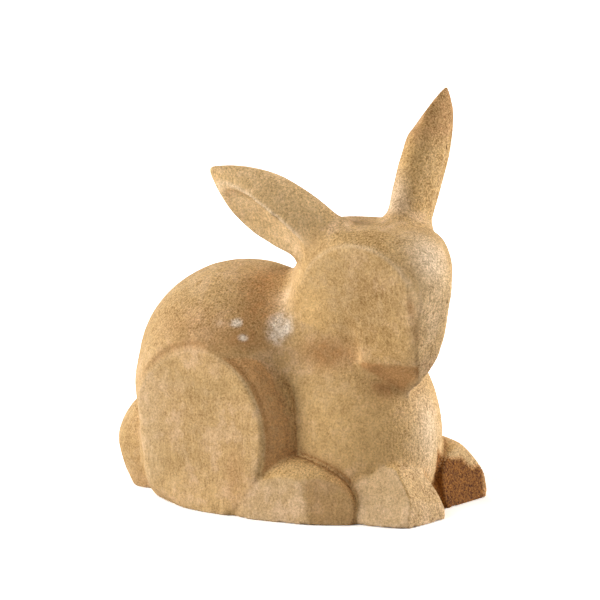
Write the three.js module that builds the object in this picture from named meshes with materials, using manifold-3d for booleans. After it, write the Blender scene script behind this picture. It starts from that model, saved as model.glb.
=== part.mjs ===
// A crouching rabbit carved from one block of sandstone, given as eleven named parts that meet at the
// carver's creases. Millimetres, +Z up. The rabbit faces -Y, its right side is -X, and the origin is on
// the floor plane under the middle of its trunk.
import * as THREE from "three";
import { mergeVertices } from "three/addons/utils/BufferGeometryUtils.js";
import Module from "manifold-3d";

const wasm = await Module();
wasm.setup();

// ---- driving dimensions -------------------------------------------------
const HAUNCH_WIDTH = 164; // across the two flat haunch faces
const BACK_HEIGHT = 175.6; // floor to the top of the back
const REAR = 135.8; // origin to the hindmost point of the rump
const BREAST = 103; // origin to the foremost point of the chest
const HEAD_YAW = -26; // degrees; the head looks to the rabbit's right
const EAR_THICKNESS = 31;
const GAP = 0.45; // how far a part is grown before it is cut from its neighbour: about 0.3 mm clear
// how finely each form is divided: splits of an icosahedron's edges, and steps round and along an ear
const DETAIL = { trunk: 9, head: 8, thigh: 7, foot: 5, paw: 5, tail: 5, hollow: 5 };
const EAR_STEPS = { round: 16, along: 11 };

// Every form is an ellipsoid. A carver's flat is a row of `flats`: [normal x, normal y, normal z, distance
// from the form's centre]. The paired parts are given for the left side.
const RUMP = { at: [0, 57, BACK_HEIGHT - 80], radii: [86, REAR - 57, 80] };
const SEAT = { at: [0, 66, 28], radii: [74, 70, 60] };
const SHOULDERS = { at: [-2, 25, 94], radii: [46, 60, 72] };
const CHEST = { at: [0, -36, 50], radii: [61.2, BREAST - 36, 88] };
const NECK = { at: [-3, -12, 112], radii: [43, 52, 56] };
const TRUNK_SOFTNESS = 6; // how widely the five forms of the trunk melt into each other
const TRUNK_CENTRE = [0, 5, 84];
const TRUNK_SPREAD = [70, 130, 95];

const HAUNCH_FLAT = [1, 0.05, 0.03, HAUNCH_WIDTH / 2 - 44];
const THIGH = {
  at: [44, 52, 54],
  radii: [57, 74, 84],
  flats: [
    HAUNCH_FLAT,
    [0.454, 0.891, -0.1, 61.3], // behind, towards the tail
    [0.6, 0.35, -0.72, 65.5], // rounded up from the floor
    [-1, 0, 0, 4], // let into the trunk
  ],
};
const HIND_FOOT = {
  at: [62, -12, 8],
  radii: [26, 56, 38],
  flats: [
    [1, -0.1, 0.05, 21],
    [0.88, -0.45, 0.12, 27.5],
    [-1, 0, 0, 22],
  ],
};
const FOREPAWS = {
  right: {
    at: [34, -74, 8],
    radii: [29, 54, 38],
    flats: [
      [0.3, -0.93, 0.1, 38], // toes
      [0.1, -0.8, 0.6, 34.5], // slope down to the toes
      [0.9, -0.15, 0.4, 25], // outer side
      [0, 1, 0, 16],
    ],
  },
  left: {
    at: [34, -76, 8],
    radii: [33, 58, 41],
    flats: [
      [-0.27, -0.94, 0.2, 37.5],
      [0.1, -0.8, 0.6, 45.5],
      [0.85, -0.1, 0.5, 28],
      [0, 1, 0, 18],
    ],
  },
};
const TAIL = {
  at: [0, 122, 20],
  radii: [46, 42, 54],
  flats: [
    [0.41, 0.8, -0.44, 35],
    [-0.41, 0.8, -0.44, 35],
    [0, -1, 0, 18], // let into the trunk
  ],
};

// The head and the ears are given in the head's own frame, which turns by HEAD_YAW about HEAD_AT.
const HEAD_AT = [-6, -54, 151];
const HEAD = {
  at: [0, 0, 0],
  radii: [59, 76.5, 80],
  flats: [
    [0.92, -0.38, -0.17, 40.4], // cheeks
    [-0.92, -0.38, -0.17, 40.4],
    [0, -1, -0.2, 67.7], // bridge of the nose
    [0, -0.88, -0.47, 71], // tip of the nose
    [0.72, -0.387, -0.576, 50], // underside of the muzzle
    [-0.72, -0.387, -0.576, 50],
    [0, -0.02, 1, 61], // crown
    [0.742, 0.557, 0.371, 63.5], // nape, under the ears
    [-0.742, 0.557, 0.371, 63.5],
  ],
};
// `roll` turns an ear about its own length, away from facing outwards and forwards. `shoulder` is where
// along its length it is widest, and its flats lie at a distance from its root.
const EARS = {
  right: { root: [-34, 16, 51], tip: [-94, 76, 102.3], roll: 10, width: 48, shoulder: 0.34, flats: [] },
  left: {
    root: [28.5, -2.6, 53],
    tip: [80.4, 13.4, 156],
    roll: 35,
    width: 50,
    shoulder: 0.49,
    flats: [[-0.563, 0.562, 0.608, 44]],
  },
};
const EAR_FACE = [0.77, -0.62, -0.17];
// The hollow of the ear: its centre across, out of and along the ear, and its size, as shares of the ear's
// width, thickness and length.
const HOLLOW_AT = [-0.34, 0.44, 0.48];
const HOLLOW_SIZE = [0.66, 0.56, 0.9];

// ---- from numbers to solids ----------------------------------------------
const V = (x, y, z) => new THREE.Vector3(x, y, z);
const FARTHEST = 400; // beyond every surface, as seen from a form's centre
const HALVINGS = 26; // of that distance, to find the surface

// Roughly the distance of a point from the surface of a form: negative inside, positive outside.
function depth({ at, radii }, point) {
  const share = Math.hypot(...point.toArray().map((value, k) => (value - at[k]) / radii[k]));
  return (share - 1) * Math.cbrt(radii[0] * radii[1] * radii[2]);
}

// The same for several forms that melt into one surface.
function melted(specs, softness) {
  return (point) => {
    const closeness = specs.map((spec) => Math.exp(-depth(spec, point) / softness));
    return -softness * Math.log(closeness.reduce((sum, value) => sum + value));
  };
}

function solid(geometry) {
  geometry.deleteAttribute("normal");
  geometry.deleteAttribute("uv");
  const merged = mergeVertices(geometry, 1e-4);
  return new wasm.Manifold(
    new wasm.Mesh({
      numProp: 3,
      vertProperties: merged.attributes.position.array,
      triVerts: new Uint32Array(merged.index.array),
    }),
  );
}

// Wraps an icosphere onto the surface where `field` is zero, as seen from `centre`, and grows it outwards.
function wrap(field, centre, spread, detail, grow = 0) {
  const geometry = new THREE.IcosahedronGeometry(1, detail);
  const position = geometry.getAttribute("position");
  const middle = V(...centre);
  const ray = V(0, 0, 0);
  const p = V(0, 0, 0);
  for (let i = 0; i < position.count; i++) {
    ray.fromBufferAttribute(position, i).multiply(V(...spread)).normalize();
    let near = 0;
    let far = FARTHEST;
    for (let k = 0; k < HALVINGS; k++) {
      const half = (near + far) / 2;
      if (field(p.copy(middle).addScaledVector(ray, half)) < 0) near = half;
      else far = half;
    }
    p.copy(middle).addScaledVector(ray, near + grow);
    position.setXYZ(i, p.x, p.y, p.z);
  }
  return solid(geometry);
}

// A solid dressed flat, by rows of `flats` measured from `at`.
function dressed(manifold, flats, at, grow = 0) {
  return flats.reduce((result, [x, y, z, distance]) => {
    const normal = V(x, y, z).normalize();
    const offset = normal.dot(V(...at)) + distance + grow;
    return result.trimByPlane(normal.negate().toArray(), -offset);
  }, manifold);
}

// A form as a solid: the ellipsoid, then its flats.
function form(spec, detail, grow = 0) {
  const ellipsoid = wrap((point) => depth(spec, point), spec.at, spec.radii, detail, grow);
  return dressed(ellipsoid, spec.flats, spec.at, grow);
}

// The form on one side of the body, from the numbers given for the left side.
function mirrored(spec, side) {
  return {
    ...spec,
    at: [side * spec.at[0], spec.at[1], spec.at[2]],
    flats: spec.flats.map(([x, y, z, distance]) => [side * x, y, z, distance]),
  };
}

// An ear's half width, as a share of its widest, from the root at t = 0 to the tip at t = 1.
function swell(t, shoulder) {
  if (t < shoulder) return 1 - 0.16 * (1 - t / shoulder) ** 2;
  return Math.cos((Math.PI / 2) * ((t - shoulder) / (1 - shoulder)) ** 1.2) ** 0.85;
}

// A flattened leaf that grows from the origin along +Z, its width along X and its thickness along Y.
function leaf(width, thickness, length, shoulder) {
  const { round, along } = EAR_STEPS;
  const outline = [new THREE.Vector2(0, 0)];
  for (let i = 0; i < along; i++) {
    outline.push(new THREE.Vector2((width / 2) * swell(i / along, shoulder), (i / along) * length));
  }
  outline.push(new THREE.Vector2(0, length));
  const geometry = new THREE.LatheGeometry(outline, round);
  geometry.rotateX(Math.PI / 2);
  geometry.scale(1, thickness / width, 1);
  return geometry;
}

const headPlace = new THREE.Matrix4()
  .makeRotationZ(THREE.MathUtils.degToRad(HEAD_YAW))
  .setPosition(...HEAD_AT);

function earSolid({ root, tip, roll, width, shoulder, flats }, side) {
  const base = V(...root);
  const axis = V(...tip).sub(base);
  const length = axis.length();
  axis.normalize();
  const face = V(side * EAR_FACE[0], EAR_FACE[1], EAR_FACE[2]);
  face.applyAxisAngle(axis, THREE.MathUtils.degToRad(-side * roll));
  const wide = axis.clone().cross(face).multiplyScalar(-side).normalize();
  const thick = axis.clone().cross(wide);
  const place = new THREE.Matrix4().makeBasis(wide, thick, axis).setPosition(base);
  const size = [width, EAR_THICKNESS, length];
  const hollow = {
    at: [HOLLOW_AT[0] * size[0], side * HOLLOW_AT[1] * size[1], HOLLOW_AT[2] * size[2]],
    radii: HOLLOW_SIZE.map((share, k) => (share * size[k]) / 2),
    flats: [],
  };
  const blade = solid(leaf(...size, shoulder)).subtract(form(hollow, DETAIL.hollow));
  return dressed(blade.transform(place.elements), flats, root).transform(headPlace.elements);
}

// ---- assembly -------------------------------------------------------------
const SIDES = { right: -1, left: 1 };
const SANDSTONE = 0xc9a574;
const group = new THREE.Group();

function add(name, manifold) {
  const { vertProperties, triVerts } = manifold.getMesh();
  const geometry = new THREE.BufferGeometry();
  geometry.setAttribute("position", new THREE.BufferAttribute(new Float32Array(vertProperties), 3));
  geometry.setIndex(new THREE.BufferAttribute(new Uint32Array(triVerts), 1));
  geometry.computeVertexNormals();
  const stone = new THREE.MeshStandardMaterial({ color: SANDSTONE, roughness: 0.9, metalness: 0 });
  const mesh = new THREE.Mesh(geometry, stone);
  mesh.name = name;
  group.add(mesh);
}

const onFloor = (manifold) => manifold.trimByPlane([0, 0, 1], 0);

// Each part is whole where it is listed first. What comes later is cut back by the grown part before it.
const head = (grow) => form(HEAD, DETAIL.head, grow).transform(headPlace.elements);
const tail = (grow) => form(TAIL, DETAIL.tail, grow);
const trunkField = melted([RUMP, SEAT, SHOULDERS, CHEST, NECK], TRUNK_SOFTNESS);
let trunk = wrap(trunkField, TRUNK_CENTRE, TRUNK_SPREAD, DETAIL.trunk);
trunk = trunk.subtract(head(GAP)).subtract(tail(GAP));
let rear = tail(0);
add("head", head(0));
for (const [name, side] of Object.entries(SIDES)) {
  const thigh = (grow) => form(mirrored(THIGH, side), DETAIL.thigh, grow);
  const foot = (grow) => form(mirrored(HIND_FOOT, side), DETAIL.foot, grow);
  const paw = (grow) => form(mirrored(FOREPAWS[name], side), DETAIL.paw, grow);
  add("thigh_" + name, onFloor(thigh(0).subtract(head(GAP))));
  add("hind_foot_" + name, onFloor(foot(0).subtract(thigh(GAP))));
  add("forepaw_" + name, onFloor(paw(0).subtract(foot(GAP))));
  add("ear_" + name, earSolid(EARS[name], side).subtract(head(GAP)));
  const [x, ...others] = HAUNCH_FLAT;
  trunk = dressed(trunk, [[side * x, ...others]], [side * THIGH.at[0], ...THIGH.at.slice(1)]);
  trunk = trunk.subtract(thigh(GAP)).subtract(foot(GAP)).subtract(paw(GAP));
  rear = rear.subtract(thigh(GAP));
}
add("tail", onFloor(rear));
// A loose sliver of the trunk is left between each haunch and the tail. It is waste.
const [body] = onFloor(trunk).decompose().sort((a, b) => b.volume() - a.volume());
add("trunk", body);

export default group;
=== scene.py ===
# %% [markdown]
# # A rabbit carved from sandstone
# The real object is a garden statue of a crouching rabbit, cut from one block of soft, pale brown
# sandstone. The carver roughed it out in plain rounded masses, dressed a few of them flat with a
# chisel, and rubbed the edges soft. This lesson makes that statue as one closed mesh with one
# material. The construction model is loaded first. It gives the size and place of everything, and
# stays as it is.

import math

import bmesh
import bpy
import numpy as np
from mathutils import Matrix, Vector, noise


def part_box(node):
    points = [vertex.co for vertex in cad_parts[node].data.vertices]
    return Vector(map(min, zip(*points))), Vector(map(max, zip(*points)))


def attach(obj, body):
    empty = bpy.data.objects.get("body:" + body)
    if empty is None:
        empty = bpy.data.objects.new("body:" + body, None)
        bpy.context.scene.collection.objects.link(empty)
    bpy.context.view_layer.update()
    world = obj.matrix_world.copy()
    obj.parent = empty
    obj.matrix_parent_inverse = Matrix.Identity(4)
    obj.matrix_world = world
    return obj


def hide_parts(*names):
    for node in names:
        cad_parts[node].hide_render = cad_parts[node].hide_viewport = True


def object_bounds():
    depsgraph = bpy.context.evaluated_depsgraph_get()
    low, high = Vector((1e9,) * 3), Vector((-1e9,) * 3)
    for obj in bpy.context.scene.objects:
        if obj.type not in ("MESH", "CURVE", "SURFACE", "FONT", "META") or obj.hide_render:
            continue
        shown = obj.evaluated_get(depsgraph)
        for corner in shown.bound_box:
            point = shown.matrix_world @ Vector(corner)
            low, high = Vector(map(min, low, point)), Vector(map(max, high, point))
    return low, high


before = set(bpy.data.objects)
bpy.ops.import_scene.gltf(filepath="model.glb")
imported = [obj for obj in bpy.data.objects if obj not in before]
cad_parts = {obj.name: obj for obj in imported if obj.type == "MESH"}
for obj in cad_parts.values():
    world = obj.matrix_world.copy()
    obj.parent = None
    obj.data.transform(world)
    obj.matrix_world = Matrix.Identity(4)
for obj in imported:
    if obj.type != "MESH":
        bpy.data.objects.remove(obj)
cad_box = [list(corner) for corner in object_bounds()]
print("nodes:", ", ".join(sorted(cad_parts)))
print("box in mm:", [[round(value * 1000, 1) for value in corner] for corner in cad_box])

# %% [markdown]
# ## The masses of the statue
# A carver thinks in masses: a rump, a chest, two drum-like haunches, a block for each foot. Each
# mass here is an ellipsoid, some with flats dressed onto it. They could be modelled by hand from
# spheres, but then two artists would never get the same rabbit. So every mass is a short line of
# numbers, in millimetres, the same ones that the construction model is made from. A flat is the
# direction that it faces, its distance from the middle of its mass, and how far its edge is
# rounded. Paired masses are given for the left side, +X.

# %% Sizes of the masses, in millimetres
MM = 0.001
BACK_HEIGHT = 175.6
REAR = 135.8
BREAST = 103
HAUNCH_WIDTH = 164
HAUNCH_EDGE = 1.2
RUMP = {"at": (0, 57, BACK_HEIGHT - 80), "radii": (86, REAR - 57, 80)}
SEAT = {"at": (0, 66, 28), "radii": (74, 70, 60)}
SHOULDERS = {"at": (-2, 25, 94), "radii": (46, 60, 72)}
CHEST = {"at": (0, -36, 50), "radii": (61.2, BREAST - 36, 88)}
NECK = {"at": (-3, -12, 112), "radii": (43, 52, 56)}
TRUNK_SOFTNESS = 6
TRUNK_CENTRE = (0, 5, 84)
THIGH = {
    "at": (44, 52, 54),
    "radii": (57, 74, 84),
    "flats": [
        (1, 0.05, 0.03, HAUNCH_WIDTH / 2 - 44, HAUNCH_EDGE),
        (0.454, 0.891, -0.1, 61.3, 6),
        (0.6, 0.35, -0.72, 65.5, 6),
    ],
}
HIND_FOOT = {
    "at": (62, -12, 8),
    "radii": (26, 56, 38),
    "flats": [(1, -0.1, 0.05, 21, 1.5), (0.88, -0.45, 0.12, 27.5, 1.5)],
}
FOREPAWS = {
    -1: {
        "at": (34, -74, 8),
        "radii": (29, 54, 38),
        "flats": [
            (0.3, -0.93, 0.1, 38, 1.5),
            (0.1, -0.8, 0.6, 34.5, 3),
            (0.9, -0.15, 0.4, 25, 1.5),
        ],
    },
    1: {
        "at": (34, -76, 8),
        "radii": (33, 58, 41),
        "flats": [
            (-0.27, -0.94, 0.2, 37.5, 1.5),
            (0.1, -0.8, 0.6, 45.5, 3),
            (0.85, -0.1, 0.5, 28, 1.5),
        ],
    },
}
TAIL = {
    "at": (0, 122, 20),
    "radii": (46, 42, 54),
    "flats": [(0.41, 0.8, -0.44, 35, 8), (-0.41, 0.8, -0.44, 35, 8)],
}
print("the back is", BACK_HEIGHT, "mm high, the haunches", HAUNCH_WIDTH, "mm wide")

# %% [markdown]
# ## A mass as a distance
# To melt masses into each other with a chosen roundness, each one is described by a function that
# says how far a point is from its surface: below zero inside, above zero outside. Two such
# distances joined by a soft minimum meet in a rounded valley, as where a haunch meets the flank.
# Joined by a soft maximum they keep only what both hold, with a rounded edge, as where a chisel
# has dressed a flat.

# %% Distances, and how they join
def soft_max(a, b, radius):
    """The larger of two distances, rounded over where they are within radius of each other."""
    near = np.maximum(radius - np.abs(a - b), 0) / radius
    return np.maximum(a, b) + near * near * radius / 4


def soft_min(a, b, radius):
    """The smaller of two distances, rounded the same way."""
    return -soft_max(-a, -b, radius)


def ramp(values, low, high):
    """0 up to low, 1 from high on, and smooth between them."""
    t = np.clip((values - low) / (high - low), 0, 1)
    return t * t * (3 - 2 * t)


def bell(values, middle, width):
    """1 at the middle, about a third at a width from it, and nothing far away."""
    return np.exp(-(((values - middle) / width) ** 2))


print("two equal distances joined over 4 mm:", soft_max(0.0, 0.0, 4), "mm")

# %% Ellipsoids, and slopes
def reach(mass, points):
    """How far out each point lies in an ellipsoid: 0 at the centre, 1 on the surface."""
    return np.linalg.norm((points - mass["at"]) / mass["radii"], axis=1)


def rough_distance(mass, points):
    """A distance that is right on the surface and stretched away from it."""
    return (reach(mass, points) - 1) * np.cbrt(np.prod(mass["radii"]))


TETRAHEDRON = np.array(((1, -1, -1), (-1, -1, 1), (-1, 1, -1), (1, 1, 1)))


def slope(field, points, step=0.05):
    """The direction in which a field grows fastest at each point, and how fast."""
    samples = (corner * field(points + corner * step)[:, None] for corner in TETRAHEDRON)
    return sum(samples) / (4 * step)


def even(field, step=0.01):
    """The same surface, with a field that grows by 1 mm for each millimetre near it."""
    def distance(points):
        here = field(points)
        ahead = [field(points + move) - here for move in np.eye(3) * step]
        return here * step / np.linalg.norm(ahead, axis=0)
    return distance


# %% Masses with dressed flats
def flat(x, y, z, depth, middle=(0, 0, 0)):
    """The distance from a plane that faces (x, y, z), that far from the middle."""
    facing = np.array((x, y, z)) / math.hypot(x, y, z)
    return lambda points: (points - middle) @ facing - depth


def dressed(mass):
    """The distance from a mass, each of its flats met in an edge of its own roundness."""
    rounded = even(lambda points: reach(mass, points) - 1)
    flats = [(flat(*numbers[:4], mass["at"]), numbers[4]) for numbers in mass.get("flats", ())]

    def distance(points):
        result = rounded(points)
        for plane, edge in flats:
            result = soft_max(result, plane(points), edge)
        return result
    return distance


def mirrored(mass, side):
    """A mass on one side of the body, from the numbers for the left side."""
    x, y, z = mass["at"]
    flats = [(side * a, *others) for a, *others in mass["flats"]]
    return {**mass, "at": (side * x, y, z), "flats": flats}


def melted(masses, softness):
    """Several masses melted into one surface."""
    def field(points):
        closeness = sum(np.exp(-rough_distance(mass, points) / softness) for mass in masses)
        return -softness * np.log(closeness)
    return even(field)


# %% The trunk, the limbs and the tail
trunk = melted([RUMP, SEAT, SHOULDERS, CHEST, NECK], TRUNK_SOFTNESS)
tail = dressed(TAIL)
thighs = {side: dressed(mirrored(THIGH, side)) for side in (-1, 1)}
haunch_flats = {}
for side in (-1, 1):
    thigh = mirrored(THIGH, side)
    haunch_flats[side] = flat(*thigh["flats"][0][:4], thigh["at"])
hind_feet = {side: dressed(mirrored(HIND_FOOT, side)) for side in (-1, 1)}
forepaws = {side: dressed(mirrored(FOREPAWS[side], side)) for side in (-1, 1)}
top_of_back = np.array([[0, RUMP["at"][1], BACK_HEIGHT]])
print("distance at the top of the back, mm:", round(float(trunk(top_of_back)[0]), 2))

# %% [markdown]
# ## The head
# The head is turned to the rabbit's right, so it is described in a frame of its own and the
# points are brought into that frame first. The bridge of the nose, the two sides of the muzzle's
# underside, the crown and the nape are dressed flat. Each cheek is a wide disc, slightly domed,
# that stands a little proud of the skull: past its rim the stone falls away, and a shallow groove
# follows the rim at the front. A second cut under each cheek leaves the pad of the muzzle
# standing. There are no eyes: the carver left them out, as many simple garden figures do.

# %% Sizes of the head, in its own frame
HEAD_AT = np.array((-6, -54, 151))
HEAD_YAW = -26
HEAD = {
    "at": (0, 0, 0),
    "radii": (59, 76.5, 80),
    "flats": [
        (0, -1, -0.2, 67.7, 3),
        (0, -0.88, -0.47, 71, 4),
        (0.72, -0.387, -0.576, 50, 1.5),
        (-0.72, -0.387, -0.576, 50, 1.5),
        (0, -0.02, 1, 61, 10),
        (0.742, 0.557, 0.371, 63.5, 8),
        (-0.742, 0.557, 0.371, 63.5, 8),
    ],
}
CHEEK = {
    "facing": (0.92, -0.38, -0.17),
    "depth": 39.4,
    "middle": (-25, 4),
    "radius": 50,
    "dome": 2,
    "front": -66,
    "fall": 0.3,
    "edge": 2,
}
GROOVE = {"past": 1.5, "width": 2, "depth": 0.7}
JOWL = {"flat": (0.85, -0.396, -0.45, 38.3), "front": -21, "melt": 10, "edge": 5}
LIP = {"middle": (-45, -14), "radius": 26, "dome": 1.2}

# %% The head's frame, and its cheeks
turn = np.array(Matrix.Rotation(math.radians(HEAD_YAW), 3, "Z"))


def in_head(points):
    """Points brought into the head's own frame."""
    return (points - HEAD_AT) @ turn


def disc(side):
    """The distance from a cheek's plane, and the distance out from the middle of its disc."""
    facing = np.array((side * CHEEK["facing"][0], *CHEEK["facing"][1:]))
    facing /= np.linalg.norm(facing)
    y, z = CHEEK["middle"]
    middle = np.array(((CHEEK["depth"] - facing[1] * y - facing[2] * z) / facing[0], y, z))

    def measure(local):
        rise = (local - middle) @ facing
        return rise, np.linalg.norm(local - middle - rise[:, None] * facing, axis=1)
    return measure


discs = [disc(side) for side in (-1, 1)]
jowls = [flat(side * JOWL["flat"][0], *JOWL["flat"][1:]) for side in (-1, 1)]
skull = dressed(HEAD)


def dome(spread, out):
    """How far a gently domed face rises at a distance out from its middle."""
    return spread["dome"] * np.clip(1 - (out / spread["radius"]) ** 2, 0, 1)


# %% The head as one distance
def head(points):
    """The distance from the head, without its ears."""
    local = in_head(points)
    x, y, z = local.T
    result = skull(local)
    lip = dome(LIP, np.hypot(y - LIP["middle"][0], z - LIP["middle"][1]))
    for measure, jowl in zip(discs, jowls):
        rise, out = measure(local)
        past = soft_max(out - CHEEK["radius"], CHEEK["front"] - y, 8)
        fall = CHEEK["fall"] * soft_max(past, np.zeros(len(out)), 2)
        result = soft_max(result, rise - dome(CHEEK, out) - lip + fall, CHEEK["edge"])
        second_cut = soft_min(jowl(local), y - JOWL["front"], JOWL["melt"])
        result = soft_max(result, second_cut, JOWL["edge"])
        groove = bell(past, GROOVE["past"], GROOVE["width"])
        groove *= ramp(-y, 10, 45) * ramp(z, -30, -22) * ramp(-rise, 25, 12)
        result = result + GROOVE["depth"] * groove
    return result


bridge = np.array((0, -70, 0)) @ turn.T + HEAD_AT
print("distance at the bridge of the nose, mm:", round(float(head(bridge[None])[0]), 2))

# %% [markdown]
# ## The ears
# Each ear is a long leaf, widest below its middle, with a hollow scooped from the side that faces
# out. The right ear is laid back and the left one stands up. The leaf's outline is one smooth
# function of the place along the ear, so a few numbers give its shoulder and its tip. One more
# flat slants across the top of the left ear, where a flake has come off its inner edge.

# %% Sizes of the ears, in the head's own frame
EARS = {
    -1: {
        "root": (-34, 16, 51),
        "tip": (-94, 76, 102.3),
        "roll": 10,
        "width": 48,
        "shoulder": 0.34,
        "flats": [],
    },
    1: {
        "root": (28.5, -2.6, 53),
        "tip": (80.4, 13.4, 156),
        "roll": 35,
        "width": 50,
        "shoulder": 0.49,
        "flats": [(-0.563, 0.562, 0.608, 44)],
    },
}
EAR_FACE = (0.77, -0.62, -0.17)
EAR_THICKNESS = 31
EAR_SUNK = 6
EAR_MIDDLE = 0.45
FLAKE_EDGE = 2
HOLLOW_AT = (-0.46, 0.41, 0.62)
HOLLOW_SIZE = (0.9, 0.58, 1.32)
HOLLOW_EDGE = 1.5

# %% The outline of an ear
NARROWER_ROOT = 0.16
TAPER = 1.2
BLUNTNESS = 0.85


def swell(t, shoulder):
    """An ear's half width, as a share of its widest, from the root at t = 0 to the tip at t = 1."""
    below = 1 - NARROWER_ROOT * (1 - np.clip(t, 0, shoulder) / shoulder) ** 2
    past = np.clip((t - shoulder) / (1 - shoulder), 0, 1)
    above = np.cos(np.pi / 2 * past**TAPER).clip(1e-6) ** BLUNTNESS
    return np.where(t < shoulder, below, above)


halfway = swell(np.array([0.5]), EARS[1]["shoulder"])
print("half width of the left ear halfway up, share:", round(float(halfway[0]), 3))

# %% The ears
def ear(side):
    """The distance from the ear on that side, the middle of the ear, and its hollow."""
    root, tip = (Vector(EARS[side][end]) for end in ("root", "tip"))
    axis = (tip - root).normalized()
    length = (tip - root).length
    face = Vector((side * EAR_FACE[0], EAR_FACE[1], EAR_FACE[2]))
    face.rotate(Matrix.Rotation(math.radians(-side * EARS[side]["roll"]), 3, axis))
    wide = (axis.cross(face) * -side).normalized()
    own = np.array((wide, axis.cross(wide), axis)).T
    size = np.array((EARS[side]["width"], EAR_THICKNESS, length))
    hollow = dressed(
        {
            "at": tuple(np.array((HOLLOW_AT[0], side * HOLLOW_AT[1], HOLLOW_AT[2])) * size),
            "radii": tuple(np.array(HOLLOW_SIZE) * size / 2),
        }
    )

    def leaf(local):
        """Below zero inside the leaf, in shares of its width, and growing past its tip."""
        across, through, along = (local / size).T
        past_tip = np.maximum(along - 1, 0) * 3
        return np.hypot(across, through) * 2 - swell(along, EARS[side]["shoulder"]) + past_tip

    flats = [flat(*numbers) for numbers in EARS[side]["flats"]]

    def distance(points):
        from_root = in_head(points) - np.array(root)
        local = from_root @ own
        blade = np.maximum(even(leaf)(local), -local[:, 2] - EAR_SUNK)
        for plane in flats:
            blade = soft_max(blade, plane(from_root), FLAKE_EDGE)
        return soft_max(blade, -hollow(local), HOLLOW_EDGE)

    def scoop(points):
        """How far outside the hollow each point is, how deep under the leaf, and how far across."""
        local = (in_head(points) - np.array(root)) @ own
        return hollow(local), -even(leaf)(local), local[:, 0] / size[0]

    middle = turn @ (np.array(root) + np.array(axis) * length * EAR_MIDDLE) + HEAD_AT
    return distance, middle, scoop


ears = {side: ear(side) for side in (-1, 1)}
for side, name in ((-1, "right"), (1, "left")):
    tip = turn @ np.array(EARS[side]["tip"]) + HEAD_AT
    print("tip of the", name, "ear in mm:", np.round(tip, 1))

# %% [markdown]
# ## The whole statue as one distance
# The masses are joined one after another. Each join has its own roundness: a tight crease where a
# foot, the tail or the front of a haunch lies against the body, a wider one at the neck, and the
# widest where an ear springs from the head and where a haunch runs into the rump. The saw that
# cut the block leaves the underside flat.

# %% Join the masses
CREASE = 2
HAUNCH_MELT = 12
NECK_FILLET = 6
EAR_FILLET = 13
FLOOR_EDGE = 1.5


def statue(points):
    """The distance from the whole statue. A haunch melts in most where it meets the rump."""
    result = trunk(points)
    haunch_join = CREASE + HAUNCH_MELT * ramp(points[:, 1] + (points[:, 2] - 120) * 0.7, 25, 75)
    for side in (-1, 1):
        result = soft_min(result, thighs[side](points), haunch_join)
        result = soft_max(result, haunch_flats[side](points), HAUNCH_EDGE)
    result = soft_min(result, tail(points), CREASE)
    for side in (-1, 1):
        result = soft_min(result, hind_feet[side](points), CREASE)
        result = soft_min(result, forepaws[side](points), CREASE)
    block = head(points)
    both = np.minimum(ears[-1][0](points), ears[1][0](points))
    neck_join = CREASE + (NECK_FILLET - CREASE) * ramp(both - block, -4, 10)
    result = soft_min(result, soft_min(block, both, EAR_FILLET), neck_join)
    return soft_max(result, -points[:, 2], FLOOR_EDGE)


top = statue(top_of_back)
print("distance at the top of the back, all joined, mm:", round(float(top[0]), 2))

# %% [markdown]
# ## Clay first
# A distance has no faces, so a mesh is needed to carry it. One ball is made for each mass and its
# vertices are pushed out along their rays until they touch the mass. The balls overlap, and a
# voxel remesh turns them into one closed skin of even quads, with nothing left inside. Its
# vertices are then drawn onto the exact surface, which gives clean edges and valleys that a
# remesh alone would blur.

# %% Press a ball onto each mass
FARTHEST = 250
HALVINGS = 22
FINE = 6
COARSE = 5


def press(clay, field, centre, fineness):
    """Adds a ball to the clay and pushes each vertex out until the field is zero."""
    ball = bmesh.ops.create_icosphere(clay, subdivisions=fineness, radius=1)["verts"]
    rays = np.array([vert.co for vert in ball])
    near = np.zeros(len(rays))
    far = np.full(len(rays), float(FARTHEST))
    for _ in range(HALVINGS):
        half = (near + far) / 2
        inside = field(centre + rays * half[:, None]) < 0
        near = np.where(inside, half, near)
        far = np.where(inside, far, half)
    places = centre + rays * near[:, None]
    for vert, place in zip(ball, places):
        vert.co = place * MM
    return places


def tell(node, places):
    """Prints how far the pressed ball is from the node's box, in mm."""
    low, high = (np.array(corner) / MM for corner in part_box(node))
    below, above = np.round(places.min(0) - low, 1), np.round(places.max(0) - high, 1)
    print(f"{node}: low {below}, high {above}")


clay = bmesh.new()
press(clay, trunk, np.array(TRUNK_CENTRE), FINE)
tell("tail", press(clay, tail, np.array(TAIL["at"]), FINE))
tell("head", press(clay, head, HEAD_AT, FINE))
for side, name in ((-1, "right"), (1, "left")):
    flip = np.array((side, 1, 1))
    tell("thigh_" + name, press(clay, thighs[side], THIGH["at"] * flip, FINE))
    tell("hind_foot_" + name, press(clay, hind_feet[side], HIND_FOOT["at"] * flip, COARSE))
    tell("forepaw_" + name, press(clay, forepaws[side], FOREPAWS[side]["at"] * flip, COARSE))
    tell("ear_" + name, press(clay, ears[side][0], ears[side][1], FINE))

# %% [markdown]
# ## One skin
# The saw's cut is a bisect at the floor, and the open rim is filled. The remesh is a modifier
# that is applied at once, because everything after it needs the vertices.

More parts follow.
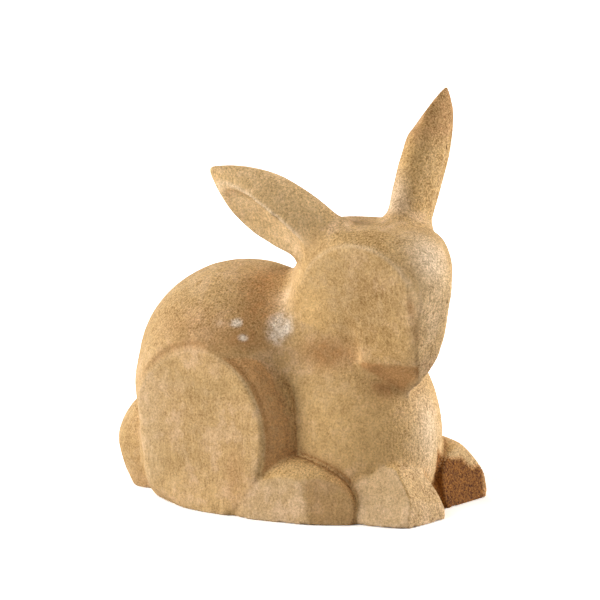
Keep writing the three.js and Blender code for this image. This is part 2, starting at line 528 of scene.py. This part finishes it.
# %% Cut the clay off at the floor and remesh it
VOXEL = 1.7 * MM
everything = clay.verts[:] + clay.edges[:] + clay.faces[:]
cut = bmesh.ops.bisect_plane(
    clay, geom=everything, plane_co=(0, 0, 0), plane_no=(0, 0, -1), clear_outer=True
)
cut_edges = [part for part in cut["geom_cut"] if isinstance(part, bmesh.types.BMEdge)]
bmesh.ops.holes_fill(clay, edges=cut_edges, sides=0)
mesh = bpy.data.meshes.new("stone_skin")
clay.to_mesh(mesh)
clay.free()
skin = bpy.data.objects.new("stone_skin", mesh)
bpy.context.scene.collection.objects.link(skin)
remesh = skin.modifiers.new("one skin", "REMESH")
remesh.mode = "VOXEL"
remesh.voxel_size = VOXEL
bpy.context.view_layer.update()
remeshed = skin.evaluated_get(bpy.context.evaluated_depsgraph_get())
whole = bpy.data.meshes.new_from_object(remeshed)
skin.modifiers.clear()
skin.data = whole
bpy.data.meshes.remove(mesh)
print("skin after the remesh:", len(whole.vertices), "vertices")

# %% [markdown]
# ## Drawing the skin onto the stone
# Each vertex is moved along the slope of the field by the distance that the field gives. A little
# smoothing between the rounds keeps the quads even, so that no row of them folds over at an edge.
# The skin is left a third of a millimetre proud, about half of what the chisel takes away later.

# %% Draw the skin onto the surface
PROUD = 0.35
FLAT_SLOPE = 0.05
DRAWINGS = 4


def drawn(points, rounds=2, limit=2.0):
    """Points moved to PROUD mm outside the surface, by at most limit millimetres a round."""
    for _ in range(rounds):
        grade = slope(statue, points)
        move = (PROUD - statue(points)) / np.maximum((grade**2).sum(1), FLAT_SLOPE)
        points = points + grade * np.clip(move, -limit, limit)[:, None]
    return points


shape = bmesh.new()
shape.from_mesh(whole)
for _ in range(DRAWINGS):
    bmesh.ops.smooth_vert(
        shape, verts=shape.verts, factor=0.5, use_axis_x=True, use_axis_y=True, use_axis_z=True
    )
    places = drawn(np.array([vert.co for vert in shape.verts]) / MM)
    for vert, place in zip(shape.verts, places):
        vert.co = place * MM
print("largest distance left, mm:", round(float(np.abs(statue(places) - PROUD).max()), 3))

# %% [markdown]
# ## Edges and hollows
# Hands and weather reach the edges of a carving and leave its hollows alone. Both are found by
# asking the distance a few millimetres outside and inside each place. On a flat face the two
# answers cancel, once the little by which the skin stands proud has been taken off each. On an
# edge their sum is above zero, in a hollow it is below. A close look finds the chisel's arrises
# and the creases. A wide one finds the places under the chin and between the limbs where soil
# stays and shade falls. The material paints the creases and hollows darker and browner: soil, and
# painted shade.

# %% Measure how the stone bends
facing = slope(statue, places)
facing /= np.linalg.norm(facing, axis=1)[:, None]


def bend(depth):
    """How sharply the stone bends within a depth in mm, at each place on the skin."""
    ahead = statue(places + facing * depth)
    behind = statue(places - facing * depth)
    return (ahead + behind - 2 * PROUD) / depth


close = bend(3)
wide = bend(14)
edge = ramp(close, 0.02, 0.45)
# crease and hollow make the stone darker and browner below: soil, and painted shade.
crease = ramp(-close, 0.05, 0.5) * (0.3 + 0.7 * ramp(-wide, 0.1, 0.5))
head_places = in_head(places)
head_x, head_y, head_z = head_places.T
hollow = ramp(-wide, 0.05, 1.0) * (1 - 0.8 * ramp(head_z, 42, 52))
for name, share in (("edge", edge), ("crease", crease), ("hollow", hollow)):
    print(name, "mean", round(float(share.mean()), 3), "on", round(float((share > 0.5).mean()), 3))

# %% [markdown]
# ## The chisel's marks
# No carved face is true. The skin is lowered here and never raised, as a chisel only takes stone
# away: in long shallow waves, in short facets, in small bites along the edges, and along the line
# that was scratched round each haunch. The left ear is ragged and lost a flake from the edge near
# its tip. The lowered skin is kept inside the construction model's box.

# %% Measures that place the marks
def uneven(places, size, seed):
    """Smooth noise from 0 to 1 for each place, with bumps about as wide as size in mm."""
    shift = Vector((seed, seed * 1.7, seed * 2.3))
    return np.array([0.5 + 0.5 * noise.noise(Vector(place) / size + shift) for place in places])


def spot(points, at, radii):
    """A soft spot: 1 in its middle, about a third at its radii, and nothing far away."""
    return np.exp(-((((points - at) / radii) ** 2).sum(1)))


x, y, z = places.T
side_of = np.sign(x)
RIM_AT = (53, 55)
RIM_RADII = (57, 66)
rim = np.hypot((y - RIM_AT[0]) / RIM_RADII[0], (z - RIM_AT[1]) / RIM_RADII[1])
on_haunch = ramp(np.abs(x), 60, 70)
print("share of the skin on the haunches:", round(float((on_haunch > 0.5).mean()), 3))

# %% Lower the skin where stone was taken
WAVES = ((34, 3, 0.7), (11, 5, 0.35), (4.5, 8, 0.18))
BITES = 0.9
SCRATCH = {"at": 1.05, "width": 0.028, "depth": 0.6}
EAR_BITES = 1.1
FLAKE = {"at": (37, -67, 284), "radii": (8, 8, 6), "depth": 2.4}
taken = sum(depth * uneven(places, size, seed) for size, seed, depth in WAVES)
taken += BITES * edge * ramp(uneven(places, 7, 12), 0.45, 0.8)
scratched = bell(rim, SCRATCH["at"], SCRATCH["width"]) * ramp(z, 45, 80)
taken += SCRATCH["depth"] * on_haunch * scratched
ragged = ramp(head_z, 104, 116) * (1 - ramp(head_z, 148, 156)) * ramp(x, 0, 10)
taken += EAR_BITES * ragged * ramp(uneven(places, 5, 21), 0.45, 0.75) * ramp(close, 0.1, 0.8)
taken += FLAKE["depth"] * spot(places, FLAKE["at"], FLAKE["radii"])
low, high = (np.array(corner) / MM for corner in cad_box)
lowered = np.clip(places - facing * taken[:, None], low, high)
for vert, place in zip(shape.verts, lowered):
    vert.co = place * MM
shape.normal_update()
shape.to_mesh(whole)
shape.free()
print("stone taken, mm: mean", round(float(taken.mean()), 2), "most", round(float(taken.max()), 2))
print("triangles:", sum(len(face.vertices) - 2 for face in whole.polygons))

# %% [markdown]
# ## A map of the skin
# The material below needs no map, because it reads the place in the stone and the marks kept on
# each vertex. Other programs want pictures, so the skin is also unwrapped flat. Smart Project
# cuts it into many small patches, which is ugly to paint on but fits any shape and stretches
# nothing.

# %% Smooth shading and a flat map
whole.shade_smooth()
whole.uv_layers.new(name="OFBake")
bpy.context.view_layer.objects.active = skin
skin.select_set(True)
bpy.ops.object.mode_set(mode="EDIT")
bpy.ops.mesh.select_all(action="SELECT")
bpy.ops.uv.smart_project(angle_limit=1.15, island_margin=0.004)
bpy.ops.object.mode_set(mode="OBJECT")
print("maps on the skin:", ", ".join(layer.name for layer in whole.uv_layers))

# %% [markdown]
# ## Stains, and painted light and shade
# A statue that has stood outdoors is not one colour. Soil and iron stain what water runs over, and
# lime dries white where water stands. Many of the spots below also paint light and shade into the
# colour: paler or lighter where a face is lit, darker and browner where it is shaded, so the
# bleaching layer carries painted light too and the rust layer painted shade. These are laid down as
# soft spots in millimetres, each with what it does to the stone, and kept on the mesh as
# attributes, which a material can read. The same could be painted by hand, but not repeated.

# %% Which mass the skin belongs to
block = head(places)
right_ear = ramp(block - ears[-1][0](places), 2, 14)
left_ear = ramp(block - ears[1][0](places), 2, 14)
on_head = ramp(trunk(places) - block, -2, 2) * (1 - right_ear) * (1 - left_ear)


def owned(mass, *others):
    """1 where a mass is the outermost one on the skin, 0 where one of the others is."""
    nearest = np.minimum.reduce([other(places) for other in others])
    return ramp(nearest - mass(places), -0.8, 1.2)


for name, share in (("head", on_head), ("right ear", right_ear), ("left ear", left_ear)):
    print("share of the skin on the", name, round(float(share.mean()), 3))

# %% Helpers for the stains
LAYERS = {name: np.zeros(len(places)) for name in ("tone", "rust", "ochre", "bleach", "lime")}


def lay(soft, **layers):
    """Lays a soft shape over the named layers, each by its own share."""
    for name, share in layers.items():
        LAYERS[name] += share * soft


def stain(at, radii, **layers):
    """Lays a soft spot in the statue's frame."""
    lay(spot(places, at, radii), **layers)


def head_stain(at, radii, **layers):
    """Lays a soft spot in the head's frame, on the head alone."""
    lay(on_head * spot(head_places, at, radii), **layers)


def told(title):
    """Prints how dark, rusty and so on the skin is by now."""
    print(title, {name: round(float(values.mean()), 3) for name, values in LAYERS.items()})


print("stain layers:", ", ".join(LAYERS))

# %% Haunches: rust and painted shade past the rim, painted light on it, behind and low down
for side in (-1, 1):
    band = owned(thighs[side], trunk, hind_feet[side]) * (side_of == side)
    band *= on_haunch * ramp(rim, 0.99, 1.01) * ramp(-y, -66, -36)
    # The band past the rim is rust-brown and darker: rust, and painted shade where it turns away
    # from the light.
    lay(band, rust=1)
    lay(band * (0.22 - 0.2 * bell(rim, 1.03, 0.06)), tone=1)
    # A darker, rust-brown spot low at the front of the haunch.
    stain((side * 84, 20, 30), (12, 9, 22), rust=0.45, tone=-0.05)
    # Painted light on the rear of the haunch.
    stain((side * 76, 96, 60), (20, 14, 50), bleach=0.3, tone=0.05)
    # Painted light low on the haunch.
    stain((side * 80, 66, 14), (20, 40, 16), tone=0.12)
# A painted highlight along the top of the rim.
lay(on_haunch * bell(rim, 0.985, 0.014) * ramp(z, 50, 90), bleach=0.2, tone=0.04)
# Darker and browner above the rim.
above = on_haunch * bell(rim, 1.07, 0.05) * ramp(z, 85, 110) * ramp(y, 20, 50)
lay(above, rust=0.45, tone=-0.05)
told("haunches:")

# %% Feet and paws: painted light and shade by the way that their facets face, ochre on top
for side in (-1, 1):
    outward = side * facing[:, 0]
    foot = owned(hind_feet[side], trunk, forepaws[side], thighs[side]) * (side_of == side)
    # Hind feet: the fronts rust-brown, partly painted shade; the tops ochre; the outer sides
    # lighter, which is painted light.
    lay(foot * ramp(-facing[:, 1], 0.36, 0.5), rust=0.45)
    lay(foot * ramp(facing[:, 2], 0.2, 0.5), ochre=0.6)
    lay(foot * ramp(outward, 0.93, 0.98), bleach=0.3)
    paw = owned(forepaws[side], trunk, hind_feet[side]) * (side_of == side)
    paw *= 1 - 0.5 * (side > 0)
    # Forepaws: the outer sides lighter, which is painted light; the fronts darker and paler; the
    # tops ochre.
    lay(paw * ramp(outward, 0.82, 0.88), bleach=0.4, tone=0.05)
    lay(paw * ramp(-facing[:, 1], 0.45, 0.6), tone=-0.12)
    lay(paw * ramp(-facing[:, 1], 0.7, 0.8), bleach=0.3)
    lay(paw * ramp(facing[:, 2], 0.45, 0.6), ochre=0.9, tone=-0.1 * (side < 0))
told("feet and paws:")

# %% The front of the left forepaw: a damp stain and a painted shadow, with a patchy border
patchy = 8 * (uneven(places, 9, 31) - 0.5)
damp_and_shadow = ramp(x, 2, 6) * ramp(-y, 84, 92) * ramp(-facing[:, :2].min(1), 0.5, 0.75)
damp_and_shadow *= ramp(-z - 0.5 * (x - 12) + patchy, -45, -38) * ramp(-x + patchy, -57, -47)
# The inner face of the left forepaw lies in the shade of the chest and the other paw; it is painted
# dark brown, a damp stain and a painted shadow.
lay(damp_and_shadow, rust=2.2, tone=-0.2)
told("damp paw:")

# %% Spots on the back, neck and flank: rust with lime in the middle of it, painted light at the neck
stain((-30, 27, 166), (18, 13, 12), rust=0.8, tone=0.03)
stain((-50, 20, 148), (16, 14, 14), rust=0.8, tone=0.03)
stain((-66, 22, 128), (16, 24, 10), rust=0.7, tone=0.02)
stain((-48, 2, 136), (13, 9, 11), lime=1.1, bleach=0.3, tone=0.03)
# Painted light on the lit side of the valley behind the head, with a little lime.
stain((-36, 6, 157), (10, 8, 16), lime=0.15, bleach=0.6, tone=0.1)
stain((-64, 29, 141), (5.5, 4, 4), lime=1.2)
stain((-67, 22, 131), (4, 4, 3), lime=0.9)
stain((-70, 42, 141), (8, 8, 6), lime=0.3)
stain((-73, 58, 138), (24, 42, 16), rust=0.4, tone=-0.12)
stain((-80, 46, 62), (14, 34, 30), tone=-0.06)
stain((-43, 133, 31), (40, 20, 34), tone=-0.1)
told("back and flank:")

# %% Spots on the top of the head and on the chest
# Painted light on the crown between the ears, where the roots of the ears shade it.
stain((-4, -38, 211), (30, 22, 8), tone=0.27)
# A painted shadow under the cheek, rust-brown.
stain((-43, -34, 120), (16, 18, 11), rust=1.1, tone=-0.12)
# Rust-brown under the corner of the mouth, partly painted shade.
stain((-36, -77, 97), (8, 11, 7), rust=0.9, tone=-0.04)
stain((-47, -75, 72), (30, 24, 44), ochre=0.8, rust=0.15, tone=-0.02)
stain((-59, -41, 71), (14, 26, 40), ochre=0.3, tone=0.05)
# Painted light on the foremost part of the chest, where light from the side catches it.
stain((-10, -104, 64), (16, 14, 34), bleach=0.9, tone=0.04)
told("crown and chest:")

# %% Cheek: a painted highlight along its rim, and ochre and painted shade in the groove
cheek = on_head * (head_x < -15)
from_rim = discs[0](head_places)[1] - CHEEK["radius"]
lay(cheek * bell(from_rim, -1.5, 1.4) * ramp(head_z, 18, 34), bleach=0.35, tone=0.06)
soiled_and_shaded = cheek * bell(from_rim, 4, 3.5) * ramp(-head_y, 8, 30) * ramp(head_z, -22, -10)
lay(soiled_and_shaded, ochre=0.8, tone=-0.15)
head_stain((-49, 12, -4), (16, 14, 22), ochre=0.95, tone=0.05)
told("cheek:")

# %% The face: painted shade beside the bridge of the nose, painted light on it, darker and ochre patches
# Painted shade in the valley between the near cheek and the bridge of the nose.
head_stain((-18, -65, 10), (8, 2.2, 6), rust=0.7, tone=-0.2)
head_stain((-18, -67, -13), (8, 2.2, 10), rust=0.7, tone=-0.2)
head_stain((-34, -34, 6), (16, 28, 36), tone=-0.28, ochre=0.25)
head_stain((-24, -48, -17), (16, 18, 14), ochre=0.75, tone=-0.14)
head_stain((-5, -39, 60), (34, 26, 10), tone=-0.06)
head_stain((3, -60, -34), (12, 9, 7), bleach=0.5, rust=0.25, tone=-0.22)
# Painted light on the bridge of the nose, brightest at the top.
head_stain((0, -64, 46), (16, 16, 20), bleach=1.1, tone=0.04)
head_stain((0, -70, 5), (16, 12, 34), bleach=0.45, ochre=0.3)
told("face:")

# %% The mouth: rust-brown and painted shade on the two facets under the muzzle, paler along the middle
MUZZLE = HEAD["flats"][2]
for side in (-1, 1):
    facet = flat(side * MUZZLE[0], *MUZZLE[1:4])(head_places)
    corner = 8 * ramp(-side * head_x, -9, -3)
    lips = on_head * ramp(facet, -2.0, -0.2) * ramp(-head_z + corner, 33.5, 37.5)
    # Each facet faces down: rust-brown on its outer part, partly painted shade.
    lay(lips * ramp(side * head_x, 0, 8), rust=0.95)
    lay(lips * ramp(-side * head_x, -8, 0), bleach=0.25)
    lay(lips, tone=-0.02)
told("mouth:")

# %% Right ear: pale and ochre, painted light over it and on its hollow, a painted shadow under its edge
outside, deep, across = ears[-1][2](places)
scooped = right_ear * ramp(deep, 0.3, 1.2)
upper = right_ear * ramp(across, -0.32, -0.18)
# The whole ear is painted lighter, as it catches more light.
lay(right_ear, bleach=0.2, ochre=0.5, tone=0.12)
# A painted highlight along the upper edge of the hollow.
lay(upper * bell(outside, 1.6, 1.3) * (1 - ramp(deep, 0.2, 0.6)), bleach=0.5, tone=0.12)
# Painted light in the hollow.
lay(scooped, tone=0.14)
# A painted shadow under that edge, rust-brown.
lay(scooped * upper * (1 - ramp(deep, 1.1, 3)), rust=0.5, tone=-0.22)
told("right ear:")

# %% Stains of the left ear: paler inside, ochre outside, rust at the tip
lay(left_ear * ramp(-head_x, -30, -10), bleach=1.2)
lay(left_ear * ramp(head_x, 10, 30), ochre=0.6)
lay(left_ear * ramp(head_z, 108, 130), rust=0.6, tone=-0.08)
lay(left_ear * (0.1 + 0.06 * ramp(head_x, 20, 50)), tone=-1)
told("left ear:")

# %% [markdown]
# ## Cleared, combed and raked places
# Three more things steer the material. The soil and painted shade of the creases and hollows are
# taken off the sides of the chest, where the stone stays light right up to the crease. The
# chisel's strokes show most on the bridge of the nose, the chest and the haunches. The grain is
# painted in stronger contrast where the stone faces up or to the front, as raking light would show
# its pits there, and on the ears and on the painted shadow of the left forepaw. All the marks are
# then written to the mesh as one number for each vertex, which is the form that a material can look
# up by its name.

# %% Take soil and painted shade off the chest, comb the stone, and paint raking light on its grain
CLEAN = 0.8
sides = (owned(trunk, thighs[side]) * (side_of == side) for side in (-1, 1))
soil_and_shade_left = 1 - CLEAN * sum(sides) * ramp(-y, -20, -8) * ramp(z, 44, 54)
crease *= soil_and_shade_left
hollow *= soil_and_shade_left
combed = on_head * spot(head_places, (0, -70, 8), (22, 14, 40))
combed += spot(places, (-10, -104, 64), (22, 16, 40))
combed += 0.35 * on_haunch * ramp(-z, -70, -25) * ramp(1 - rim, -0.05, 0.05)
# The grain's contrast is painted stronger where raking light would show its pits.
pitted_and_raked = ramp(facing[:, 2], 0.3, 0.7) + ramp(-facing[:, 1], 0.6, 0.9) + 0.6 * right_ear + left_ear
pitted_and_raked = np.minimum(pitted_and_raked, 1) + 2 * damp_and_shadow
print("mean combed", round(float(combed.mean()), 3), "pitted_and_raked", round(float(pitted_and_raked.mean()), 3))

# %% Write the marks to the mesh
marks = {"edge": edge, "crease": crease, "hollow": hollow, "pitted_and_raked": pitted_and_raked, "combed": combed}
marks |= LAYERS
for name, values in marks.items():
    layer = whole.attributes.new(name, "FLOAT", "POINT")
    layer.data.foreach_set("value", values.astype(np.float32))
print("marks on the mesh:", ", ".join(marks))

# %% [markdown]
# ## Writing shader maths
# A material is a net of nodes. Written out node by node it hides the thought behind it, so one
# small class stands for an output of a node. Adding or multiplying two of them adds the Math node
# for it.

# %% A wire between nodes
class Wire:
    """An output of a node. Sums and products of wires add their Math nodes."""

    def __init__(self, tree, socket=None):
        """A wire without a socket stands for the whole net, where the first nodes are added."""
        self.tree = tree
        self.socket = socket

    def node(self, kind, settings, values, output=0):
        """Adds a node: its settings first, then the value or the wire of each socket."""
        new = self.tree.nodes.new("ShaderNode" + kind)
        for name, setting in settings.items():
            setattr(new, name, setting)
        for name, value in values.items():
            if isinstance(value, Wire):
                self.tree.links.new(value.socket, new.inputs[name])
            else:
                new.inputs[name].default_value = value
        return Wire(self.tree, new.outputs[output])

    def math(self, operation, first, second):
        """Adds a Math node. Either side may be a wire or a number."""
        return self.node("Math", {"operation": operation}, {0: first, 1: second})

    def __add__(self, other):
        return self.math("ADD", self, other)

    def __sub__(self, other):
        return self.math("SUBTRACT", self, other)

    def __rsub__(self, other):
        return self.math("SUBTRACT", other, self)

    def __mul__(self, other):
        return self.math("MULTIPLY", self, other)

    __radd__ = __add__
    __rmul__ = __mul__


# %% Short names for the nodes of the stone
def attribute(net, name):
    """A mark kept on the mesh, looked up by its name."""
    return net.node("Attribute", {"attribute_name": name}, {}, "Fac")


def grit(net, position, size, detail=3.0, roughness=0.6):
    """Noise from about 0.25 to 0.75, with grains as wide as size in mm."""
    scale = 1 / (size * MM)
    values = {"Vector": position, "Scale": scale, "Detail": detail, "Roughness": roughness}
    return net.node("TexNoise", {}, values)


def between(net, value, low, high, start=0.0, end=1.0):
    """start up to low, end from high on, and smooth between them."""
    settings = {"interpolation_type": "SMOOTHSTEP"}
    values = {"Value": value, "From Min": low, "From Max": high, "To Min": start, "To Max": end}
    return net.node("MapRange", settings, values)


def blend(net, share, first, second, how="MIX"):
    """One colour laid over another by a share from 0 to 1."""
    settings = {"data_type": "RGBA", "blend_type": how, "clamp_factor": True}
    return net.node("Mix", settings, {0: share, 6: first, 7: second}, 2)


print("helpers:", ", ".join(helper.__name__ for helper in (attribute, grit, between, blend)))

# %% [markdown]
# ## Sandstone
# Sandstone is sand held together by lime and iron. Close up it is a speckle of grains about a
# millimetre wide, pale and dark. Over a hand's width it drifts between yellow, brown and pinkish
# grey, following the old beds of sand. The chisel left fine upright strokes on the broad faces.

# %% The coordinates and the grains
stone = bpy.data.materials.new("sandstone")
stone.use_nodes = True
shader = stone.node_tree.nodes["Principled BSDF"]
net = Wire(stone.node_tree)
position = net.node("TexCoord", {}, {}, "Object")
tipped = {"Vector": position, "Rotation": (0.2, 0, 0), "Scale": (1, 1, 0.2)}
upright = net.node("Mapping", {}, tipped)
layered = net.node("Mapping", {}, {"Vector": position, "Scale": (1, 1, 2.4)})
grains = grit(net, position, 1.5, 4, 0.8)
glints = between(net, grit(net, position, 2.1, 2, 0.8), 0.6, 0.72)
strokes = grit(net, upright, 2.6, 3, 0.65)
mottle = grit(net, position, 7, 3, 0.6)
blotch = grit(net, position, 17, 3, 0.6)
drift = grit(net, position, 42, 3, 0.55)
beds = grit(net, layered, 70, 2, 0.5)
print("nodes so far:", len(stone.node_tree.nodes))

# %% Colours of the stone
TAN = (0.54, 0.334, 0.145, 1)
OCHRE = (0.59, 0.358, 0.130, 1)
OLIVE = (0.43, 0.268, 0.097, 1)
RUST_AND_SHADE = (0.47, 0.246, 0.092, 1)
DAMP_AND_SHADOW = (0.235, 0.085, 0.012, 1)
PINKISH = (0.595, 0.375, 0.19, 1)
PALE = (0.69, 0.50, 0.31, 1)
LIME = (0.79, 0.645, 0.49, 1)
print("red, green and blue of rust:", RUST_AND_SHADE[:3], "and of lime:", LIME[:3])

# %% Lay the colours over each other
edges, creases, hollows, pits_and_raking, combs, tones, rusts, ochres, bleached, limes = (
    attribute(net, name) for name in marks
)
colour = blend(net, between(net, blotch + (drift - 0.5) * 0.6, 0.45, 0.62), TAN, PINKISH)
colour = blend(net, between(net, beds, 0.38, 0.62, 0, 0.6), colour, OLIVE)
yellower = between(net, mottle + (blotch - 0.5) * 0.7, 0.42, 0.64, 0.45, 0)
colour = blend(net, ochres + yellower, colour, OCHRE)
# Pale on worn edges, and where the bleaching layer paints light.
colour = blend(net, 0.1 + bleached * 0.8 + edges * 0.14, colour, PALE)
speck = grains - 0.5 + glints * (0.04 + pits_and_raking * 0.05)
# Rust-brown where there is rust, and painted shade in the creases and hollows.
rusty = rusts + creases * 1.2 + hollows * 0.35 + (mottle - 0.5) * rusts * 2.4
colour = blend(net, rusty, colour, RUST_AND_SHADE)
# Dark brown where the rust layer runs deepest, as on the left forepaw: damp, and painted shadow.
colour = blend(net, between(net, rusts, 1.2, 2.2), colour, DAMP_AND_SHADOW)
flecks = limes + (mottle - 0.5) * limes * 2 + speck * limes
colour = blend(net, between(net, flecks, 0.15, 0.95), colour, LIME)
print("nodes with the colours:", len(stone.node_tree.nodes))

# %% Light and dark over the stone
grainy = speck * (2.2 + pits_and_raking * 1.5) + (strokes - 0.5) * (0.4 + combs)
clouded = (mottle - 0.5) * 0.85 + (drift - 0.5) * 0.3 + (blotch - 0.5) * 0.35
# Lighter on worn edges; darker in the creases and hollows, which is painted shade.
worn_and_shaded = edges * 0.07 - creases * 0.2 - hollows * 0.05
# The tones hold painted light and painted shade as well as the stone's own tone.
shade = 0.05 + tones + grainy + clouded + worn_and_shaded
warm = {"Red": 1 + shade * 0.88, "Green": 1 + shade, "Blue": 1 + shade * 1.15}
colour = blend(net, 1.0, colour, net.node("CombineColor", {}, warm), "MULTIPLY")
stone.node_tree.links.new(colour.socket, shader.inputs["Base Color"])
print("nodes with light and dark:", len(stone.node_tree.nodes))

# %% Roughness and relief of the stone
RELIEF = 1.6
rough = between(net, grains, 0.3, 0.7, 0.92, 0.75) - edges * 0.05
stone.node_tree.links.new(rough.socket, shader.inputs["Roughness"])
height = grains * 0.5 + strokes * (0.25 + combs * 0.3) + mottle * 0.5
bump = {"Strength": 0.8, "Distance": RELIEF * MM, "Height": height}
relief = net.node("Bump", {}, bump)
stone.node_tree.links.new(relief.socket, shader.inputs["Normal"])
shader.inputs["Specular IOR Level"].default_value = 0.2
whole.materials.clear()
whole.materials.append(stone)
print("nodes in the sandstone:", len(stone.node_tree.nodes))

# %% [markdown]
# ## The skin in the construction model
# The real statue is one block, so the one skin stands in for every node of the construction model
# and stays with the root. It could be cut along the nodes, but the cuts would show on the stone.

# %% Join the skin to the frame
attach(skin, "root")
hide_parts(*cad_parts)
print("stone_skin stands in for", len(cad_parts), "nodes")

# %% [markdown]
# ## The room
# A pale floor, and a camera a little higher than the statue, with a long lens that keeps its
# proportions true. The light comes from very broad, low lamps, as from white screens. Seen from
# the camera the strongest one is on the right, where the rabbit faces. One is on the left, and
# two weaker ones are behind it and above it on the left. They leave no hard shadow, so the forms
# are told apart by soft changes from face to face. The floor and the walls are brighter to the
# camera than they are to the stone, because a plain bright room would wash out the shade under
# the rabbit's chin.

# %% Helpers for the room
def around(azimuth, elevation):
    """A place 1 m from the statue, by the angle from its front and the angle above the floor."""
    a, e = math.radians(azimuth), math.radians(elevation)
    return Vector((math.sin(a) * math.cos(e), -math.cos(a) * math.cos(e), math.sin(e)))


def two_faced(net, given, shown):
    """One value for the light that a thing gives to others, another for what the camera sees."""
    ray = net.node("LightPath", {}, {}, "Is Camera Ray")
    return net.node("MapRange", {}, {"Value": ray, "To Min": given, "To Max": shown})


print("a place at the right side:", [round(value, 3) for value in around(-90, 0)])

# %% Floor
FLOOR_GIVES = 0.6
FLOOR_SHOWS = 1.6
ground = bmesh.new()
bmesh.ops.create_circle(ground, cap_ends=True, segments=96, radius=40)
floor_mesh = bpy.data.meshes.new("floor")
ground.to_mesh(floor_mesh)
ground.free()
floor = bpy.data.objects.new("floor", floor_mesh)
bpy.context.scene.collection.objects.link(floor)
pale = bpy.data.materials.new("pale floor")
pale.use_nodes = True
pale_nodes = pale.node_tree.nodes
pale_nodes.remove(pale_nodes["Principled BSDF"])
pale_net = Wire(pale.node_tree)
brightness = two_faced(pale_net, FLOOR_GIVES, FLOOR_SHOWS)
cloth = pale_net.node("BsdfDiffuse", {}, {"Color": brightness})
pale.node_tree.links.new(cloth.socket, pale_nodes["Material Output"].inputs["Surface"])
floor_mesh.materials.append(pale)
print("floor across, m:", round(floor.dimensions.x, 1))

# %% Camera
LOOK_AT = Vector((0, 0.0095, 0.1488))
CAMERA_DISTANCE = 1.8
camera = bpy.data.objects.new("camera", bpy.data.cameras.new("camera"))
bpy.context.scene.collection.objects.link(camera)
camera.data.sensor_width = 36
camera.data.lens = 144
back = around(-63, 10.5)
camera.location = LOOK_AT + back * CAMERA_DISTANCE
camera.rotation_mode = "QUATERNION"
camera.rotation_quaternion = (-back).to_track_quat("-Z", "Y")
bpy.context.scene.camera = camera
print("camera at, m:", [round(value, 3) for value in camera.location])

# %% Lamps
LAMP_WIDTH = math.radians(48)


def lamp(name, place, strength):
    """A broad soft lamp that faces the statue."""
    light = bpy.data.lights.new(name, "SUN")
    light.energy = strength
    light.angle = LAMP_WIDTH
    lamp_object = bpy.data.objects.new(name, light)
    lamp_object.location = place
    lamp_object.rotation_euler = (-place).to_track_quat("-Z", "Y").to_euler()
    bpy.context.scene.collection.objects.link(lamp_object)


lamp("front lamp", around(41, 13), 5.4)
lamp("rear lamp", around(-150, 14), 2.95)
lamp("back lamp", around(150, 12), 1.6)
lamp("side lamp", around(-118, 36), 1.6)
print("lamps:", ", ".join(f"{light.name} {light.energy:.2f}" for light in bpy.data.lights))

# %% White walls
WALLS_GIVE = 0.05
WALLS_SHOW = 1.0
world = bpy.data.worlds.new("studio")
bpy.context.scene.world = world
world.use_nodes = True
sky = world.node_tree.nodes["Background"]
sky.inputs["Color"].default_value = (1, 1, 1, 1)
strength = two_faced(Wire(world.node_tree), WALLS_GIVE, WALLS_SHOW)
world.node_tree.links.new(strength.socket, sky.inputs["Strength"])
bpy.context.scene.view_settings.view_transform = "Standard"
print("nodes in the world:", len(world.node_tree.nodes))

# %% [markdown]
# ## The end
# The last cell brings the scene up to date. The skin has to stay inside the model's box, so that
# a program that only knows the model still leaves enough room for the statue.

# %% The end
bpy.context.view_layer.update()
